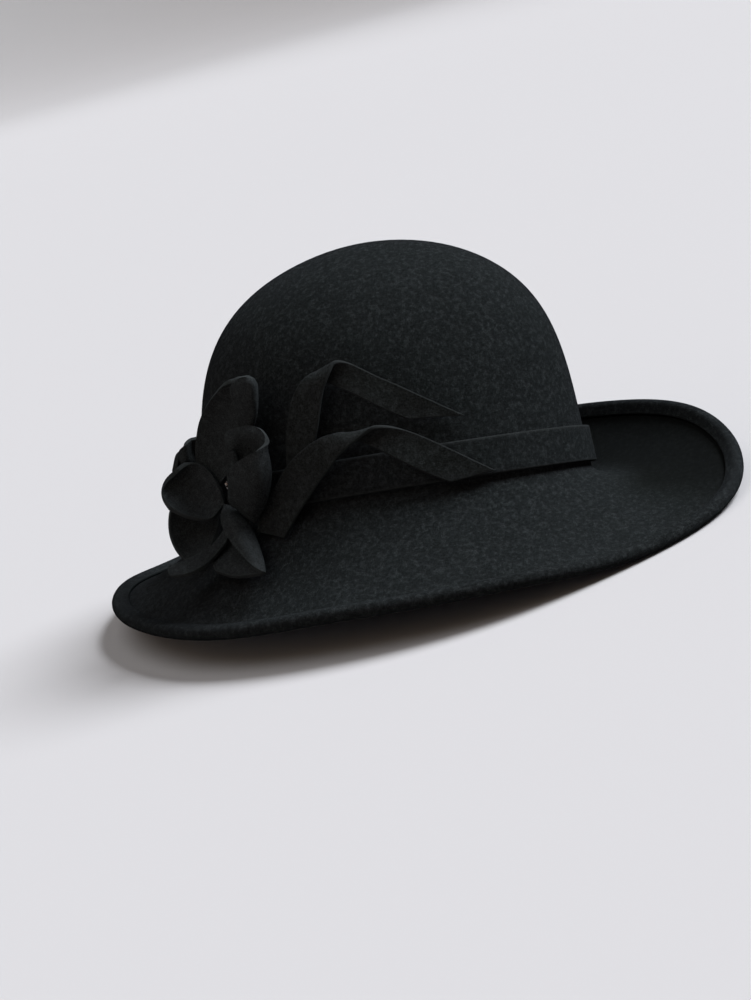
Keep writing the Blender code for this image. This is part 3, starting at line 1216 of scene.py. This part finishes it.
class Lamp(Enum):
    """The studio's lights.

    Each has its direction as right, up and towards the camera, its softness in degrees, strength and colour.
    """

    KEY = ((0.44, 0.90, 0.0), 32.0, 15.0, (0.79, 0.90, 1.0))
    SKY = ((-0.50, 0.78, 0.38), 60.0, 2.4, (0.84, 0.93, 1.0))
    FILL = ((-0.60, 0.0, 0.80), 60.0, 1.1, (1.0, 0.82, 0.58))


@dataclass
class Studio:
    """Floor, wall, lights and camera."""

    floor_radius: float = 5.0
    wall_height: float = 1.0
    curve: float = 1.2
    curve_steps: int = 12
    room_colour: Colour = (0.93, 0.95, 1.0)
    room_light: float = 0.12

    def build_stage(self, finish: StudioFinish) -> bpy.types.Object:
        """Models the floor and the wall as one bowl around the hat.

        Args:
            finish: the studio's paint.

        Returns:
            The bowl.
        """
        Modelling.deselect()
        bpy.ops.mesh.primitive_circle_add(
            vertices=96, radius=self.floor_radius, fill_type="NGON", location=(0, 0, 0)
        )
        piece = bpy.context.object
        piece.name = "studio_bowl"
        bpy.ops.object.mode_set(mode="EDIT")
        bpy.ops.mesh.select_mode(type="EDGE")
        bpy.ops.mesh.select_all(action="SELECT")
        radius = self.floor_radius
        for step in range(self.curve_steps):
            angle = math.pi / 2 * (step + 0.5) / self.curve_steps
            length = self.curve * math.pi / 2 / self.curve_steps
            grown = radius + math.cos(angle) * length
            lift = (0, 0, math.sin(angle) * length)
            bpy.ops.mesh.extrude_edges_move(TRANSFORM_OT_translate={"value": lift})
            ratio = grown / radius
            bpy.ops.transform.resize(value=(ratio, ratio, 1.0), center_override=(0, 0, 0))
            radius = grown
        bpy.ops.mesh.extrude_edges_move(TRANSFORM_OT_translate={"value": (0, 0, self.wall_height)})
        bpy.ops.mesh.select_all(action="SELECT")
        bpy.ops.mesh.normals_make_consistent(inside=True)
        bpy.ops.object.mode_set(mode="OBJECT")
        bpy.ops.object.shade_smooth_by_angle(angle=math.radians(30))
        piece.data.materials.append(finish.material())
        return piece

    def light(self, camera: bpy.types.Object) -> None:
        """Adds the lights, placed as the camera sees them, and the soft light of the room.

        Args:
            camera: the camera.
        """
        sight = camera.matrix_world.to_3x3()
        for lamp in Lamp:
            direction, softness, strength, colour = lamp.value
            data = bpy.data.lights.new(lamp.name.lower(), "SUN")
            data.angle = math.radians(softness)
            data.energy = strength
            data.color = colour
            holder = bpy.data.objects.new(lamp.name.lower(), data)
            bpy.context.scene.collection.objects.link(holder)
            holder.rotation_euler = (sight @ Vector(direction)).to_track_quat("Z", "Y").to_euler()
        world = bpy.data.worlds.new("room")
        world.use_nodes = True
        background = world.node_tree.nodes["Background"]
        background.inputs["Color"].default_value = opaque(self.room_colour)
        background.inputs["Strength"].default_value = self.room_light
        bpy.context.scene.world = world


def ribbons(camera: Camera, place: FlowerPlace) -> list[Ribbon]:
    """The two ribbons, each row of knots running from the leg's outer edge to its inner edge.

    Args:
        camera: the photograph's view.
        place: where the flower sits.

    Returns:
        The ribbons, ready to build.
    """
    upper = net(
        ((287, 466, 5.2), (309, 466, 5.2)),
        ((286.5, 440, 7), (314.8, 442, 7)),
        ((288.5, 420, 9), (318.5, 424, 9)),
        ((291.5, 402, 10.5), (320.8, 405, 10.5)),
        ((297, 388.5, 11), (323.5, 390, 12)),
        ((303.5, 380, 10.5), (327, 379.5, 13)),
        ((309, 376, 9), (330.5, 370.5, 13)),
        ((312, 375.5, 6.5), (334, 363, 12)),
        ((318, 378.5, 5.5), (341, 361.5, 9)),
        ((330, 383.5, 5.8), (352, 364.5, 6.8)),
        ((352, 393.5, 5.8), (378, 376.5, 5.8)),
        ((380, 407.5, 5.2), (412, 391.5, 5.2)),
        ((409, 419.5, 4), (464.8, 415.4, 3.4)),
    )
    lower = net(
        ((257, 532, 10.5), (285, 538, 10.5)),
        ((263.6, 512.7, 9.5), (300, 511, 9.5)),
        ((271, 495.7, 9.5), (309, 497.5, 9.5)),
        ((280, 478, 10.5), (319, 482.5, 10.5)),
        ((291, 461.5, 12), (329, 469, 12)),
        ((304.8, 448.5, 12.5), (338.5, 456, 13)),
        ((320, 438.5, 12), (347.5, 447.5, 14)),
        ((334, 434.6, 11), (356, 441, 14.5)),
        ((343, 434, 9), (364.5, 434, 14.5)),
        ((349, 436.5, 7), (374, 427.5, 13.5)),
        ((358, 441.5, 7), (387, 426.5, 10.5)),
        ((372, 446.5, 8), (402, 429, 8)),
        ((392, 457, 7.8), (424, 437, 7.2)),
        ((420, 470.5, 7), (458, 452.5, 6.6)),
        ((450, 482.5, 5.6), (495, 470.4, 5.4)),
    )
    return [
        Ribbon(camera, place, "ribbon_upper", upper, rests_on="felt_body"),
        Ribbon(camera, place, "ribbon_lower", lower, rests_on="felt_body"),
    ]


def petals(camera: Camera, place: FlowerPlace) -> list[Petal]:
    """The flower's petals, their rows of knots across the petal and one after another from root to tip.

    Args:
        camera: the photograph's view.
        place: where the flower sits.

    Returns:
        The petals, ready to build.
    """
    back = net(
        ((203, 484, 1.4), (204, 482, 1.4), (205, 480, 1.4), (206, 478, 1.4), (207, 476, 1.4)),
        ((190, 480, 6), (190, 472, 3), (194, 465, 6), (200, 458, 1.8), (206, 452, 1.8)),
        ((176, 474, 12), (180, 464, 8), (187, 462, 11), (193, 450, 6), (200, 441, 4)),
        ((174.5, 470, 14), (178, 455, 12), (184, 446, 13), (190, 439.5, 9), (197, 437, 6)),
    )
    cup = net(
        ((222, 500, 3), (222, 503, 3), (222, 506, 3), (222, 509, 3), (222, 512, 3)),
        ((205, 500, 5), (203, 512, 5), (206, 524, 5.5), (208, 536, 7), (212, 546, 10)),
        ((184, 500, 12), (183, 514, 12), (186, 530, 12), (190, 545, 13), (198, 556, 16)),
        ((173, 503, 18), (169, 515, 19), (169.5, 532, 20), (174.5, 548, 21), (182, 562, 22)),
    )
    top = net(
        (
            (210, 488, 4.2), (212, 487, 4.2), (214, 486, 4.2), (217, 485, 4.0),
            (220, 484, 3.8), (221, 483, 3.8), (222, 482, 3.8),
        ),
        (
            (200, 470, 6), (208, 469, 5), (219, 467, 4), (228, 464, 3.4),
            (234, 462, 3.2), (238, 461, 4.2), (240, 460, 4.4),
        ),
        (
            (196, 443, 9.5), (210, 441, 6.5), (226, 438, 4.5), (240, 436, 3.6),
            (249, 435, 3.8), (249, 434, 6), (241, 434, 6),
        ),
        (
            (203, 412, 10.5), (217, 411, 7), (232, 410, 4.8), (247, 409, 4.2),
            (255, 409, 6), (252, 409, 11.5), (236, 409, 11.5),
        ),
        (
            (219, 388.5, 11), (226, 391, 8.5), (235, 391, 6.5), (248, 389, 6),
            (256, 388, 8), (250, 387, 14.5), (231.5, 390, 14),
        ),
        (
            (231, 381, 11), (235, 379.5, 9.5), (240, 377.5, 8.5), (247, 376.5, 8.5),
            (253, 380, 9.5), (248, 378.5, 14), (237.5, 379, 14),
        ),
    )
    left = net(
        ((221, 490, 7.5), (222, 494, 7.5), (223, 498, 7.2), (224, 502, 6.8), (224, 505, 6.8)),
        ((212, 474, 7.4), (210.5, 487, 8.4), (209.5, 500, 9), (210, 510, 11), (211, 519.3, 14)),
        ((200, 464, 9.6), (194, 480, 11.5), (192, 496, 13), (191, 508, 16.5), (190.7, 518, 21)),
        ((187, 464, 15), (179, 476, 17), (175.5, 490, 18.5), (175, 502, 21), (176.6, 512.5, 25)),
        ((175, 472, 22), (166.5, 480, 23.5), (162.2, 490, 24.5), (163, 499, 26), (166.4, 506, 28)),
    )
    strip = net(
        ((231, 517, 9.6), (232, 519, 10.1), (233, 521, 10.6)),
        ((224, 532, 12), (226, 536, 13.5), (228, 541, 15)),
        ((213, 546, 18.5), (215, 550, 20), (217, 555, 21.5)),
        ((199, 555.5, 24.5), (202, 560.5, 26.5), (204.5, 566.5, 29)),
        ((182.5, 562.5, 30.5), (185.5, 568, 33), (188.5, 574.5, 35.5)),
        ((167.5, 567, 35), (168.5, 572, 36.8), (169.5, 577.5, 38.5)),
    )
    right = net(
        ((229, 509, 6), (230, 509, 6), (231, 508, 7.5), (228, 507, 9.5), (224, 506, 10.5)),
        ((233, 524, 6.5), (238, 524, 7.5), (247, 523, 11), (236, 523, 19), (222, 522, 20)),
        ((227, 547, 12), (238, 545, 11.5), (256, 543, 14), (244, 542, 23), (231, 541, 24)),
        ((214, 563, 22), (234, 562, 21), (261, 560, 21), (254, 560, 26), (246, 559.5, 27)),
        ((218, 576, 28), (238, 578, 28), (262, 574, 27), (261, 573, 29), (258, 572, 30)),
    )
    centre = net(
        (
            (238, 507, 12), (241, 510, 12.5), (244, 513, 12.5), (247, 516, 12.5),
            (251, 519, 11.5), (255, 522, 9.5), (253, 516, 7), (250, 511, 6.5),
            (247, 508, 6.5), (244, 507, 7), (242, 506, 8), (240, 506, 9),
        ),
        (
            (233, 505.5, 14.5), (234.5, 502, 16.5), (240, 500, 17.5), (249, 500, 18),
            (257, 502, 15.5), (265, 501, 10), (262, 498, 7), (254, 490, 7),
            (247, 488, 8), (242, 488, 9.5), (240, 492, 11), (239, 494, 12),
        ),
        (
            (231, 503, 15.6), (231.5, 494.5, 18), (234, 484, 20), (248, 478, 20.5),
            (260, 477, 17.5), (269.5, 474, 10.5), (266, 465, 7.5), (254, 458, 8.5),
            (244, 458, 10.5), (237, 462, 13), (235, 470, 14.5), (238, 474, 15),
        ),
        (
            (229.6, 500.5, 16.3), (230.4, 489, 18.6), (232, 473, 20.5), (245.5, 462, 20.5),
            (258.5, 455, 17.5), (266.5, 449, 11.5), (258, 440, 10.5), (250, 436.5, 12),
            (241, 437, 13.4), (234, 441, 15.5), (233, 450, 16), (241, 469, 13.5),
        ),
        (
            (228.8, 498.5, 16.7), (229.4, 485.5, 18.8), (229.5, 470, 20.6), (245, 457, 20.6),
            (258, 449.8, 17.5), (267.5, 441.5, 11), (261.5, 430, 9.5), (249, 425.6, 11),
            (236.5, 428.4, 12.5), (227, 433.5, 14.5), (227.5, 446, 15.5), (238, 466, 13.5),
        ),
    )
    return [
        Petal(camera, place, "petal_back", back, tip_round=0.06),
        Petal(camera, place, "petal_cup", cup, tip_round=0.06),
        Petal(camera, place, "petal_top", top, tip_round=0.04, columns=72),
        Petal(camera, place, "petal_strip", strip, tip_round=0.03, columns=16),
        Petal(camera, place, "petal_centre", centre, columns=110),
        Petal(camera, place, "petal_right", right, tip_round=0.08, columns=56),
        Petal(camera, place, "petal_left", left, tip_round=0.08),
    ]


def report(piece: bpy.types.Object) -> None:
    """Logs a finished piece's name and faces."""
    LOG.info("%s: %d faces", piece.name, len(piece.data.polygons))


def main() -> None:
    """Builds the studio and every piece of the hat."""
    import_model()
    bpy.context.scene.view_settings.view_transform = "Standard"
    rest = RestPose()
    camera = Camera()
    camera_object = camera.build(rest)
    studio = Studio()
    report(studio.build_stage(StudioFinish("studio_paint")))
    studio.light(camera_object)
    shape = HatShape()
    report(HatBody(shape).build(rest, FeltFinish("body_felt")))
    report(Band(shape).build(rest, FeltFinish("band_felt")))
    ribbon_felt = FeltFinish("ribbon_felt", dark=(0.0033, 0.0033, 0.0031), pale=(0.0108, 0.0110, 0.0105))
    flower = FlowerPlace(shape)
    for ribbon in ribbons(camera, flower):
        report(ribbon.build(rest, ribbon_felt))
    petal_felt = FeltFinish(
        "petal_felt",
        dark=(0.0048, 0.0049, 0.0047),
        pale=(0.0136, 0.0140, 0.0137),
        cut=(0.0150, 0.0153, 0.0147),
    )
    for petal in petals(camera, flower):
        report(petal.build(rest, petal_felt))
    report(Bead().build(BeadFinish("bead_glass")))


if __name__ == "__main__":
    logging.basicConfig(level=logging.INFO, format="%(message)s")
    main()
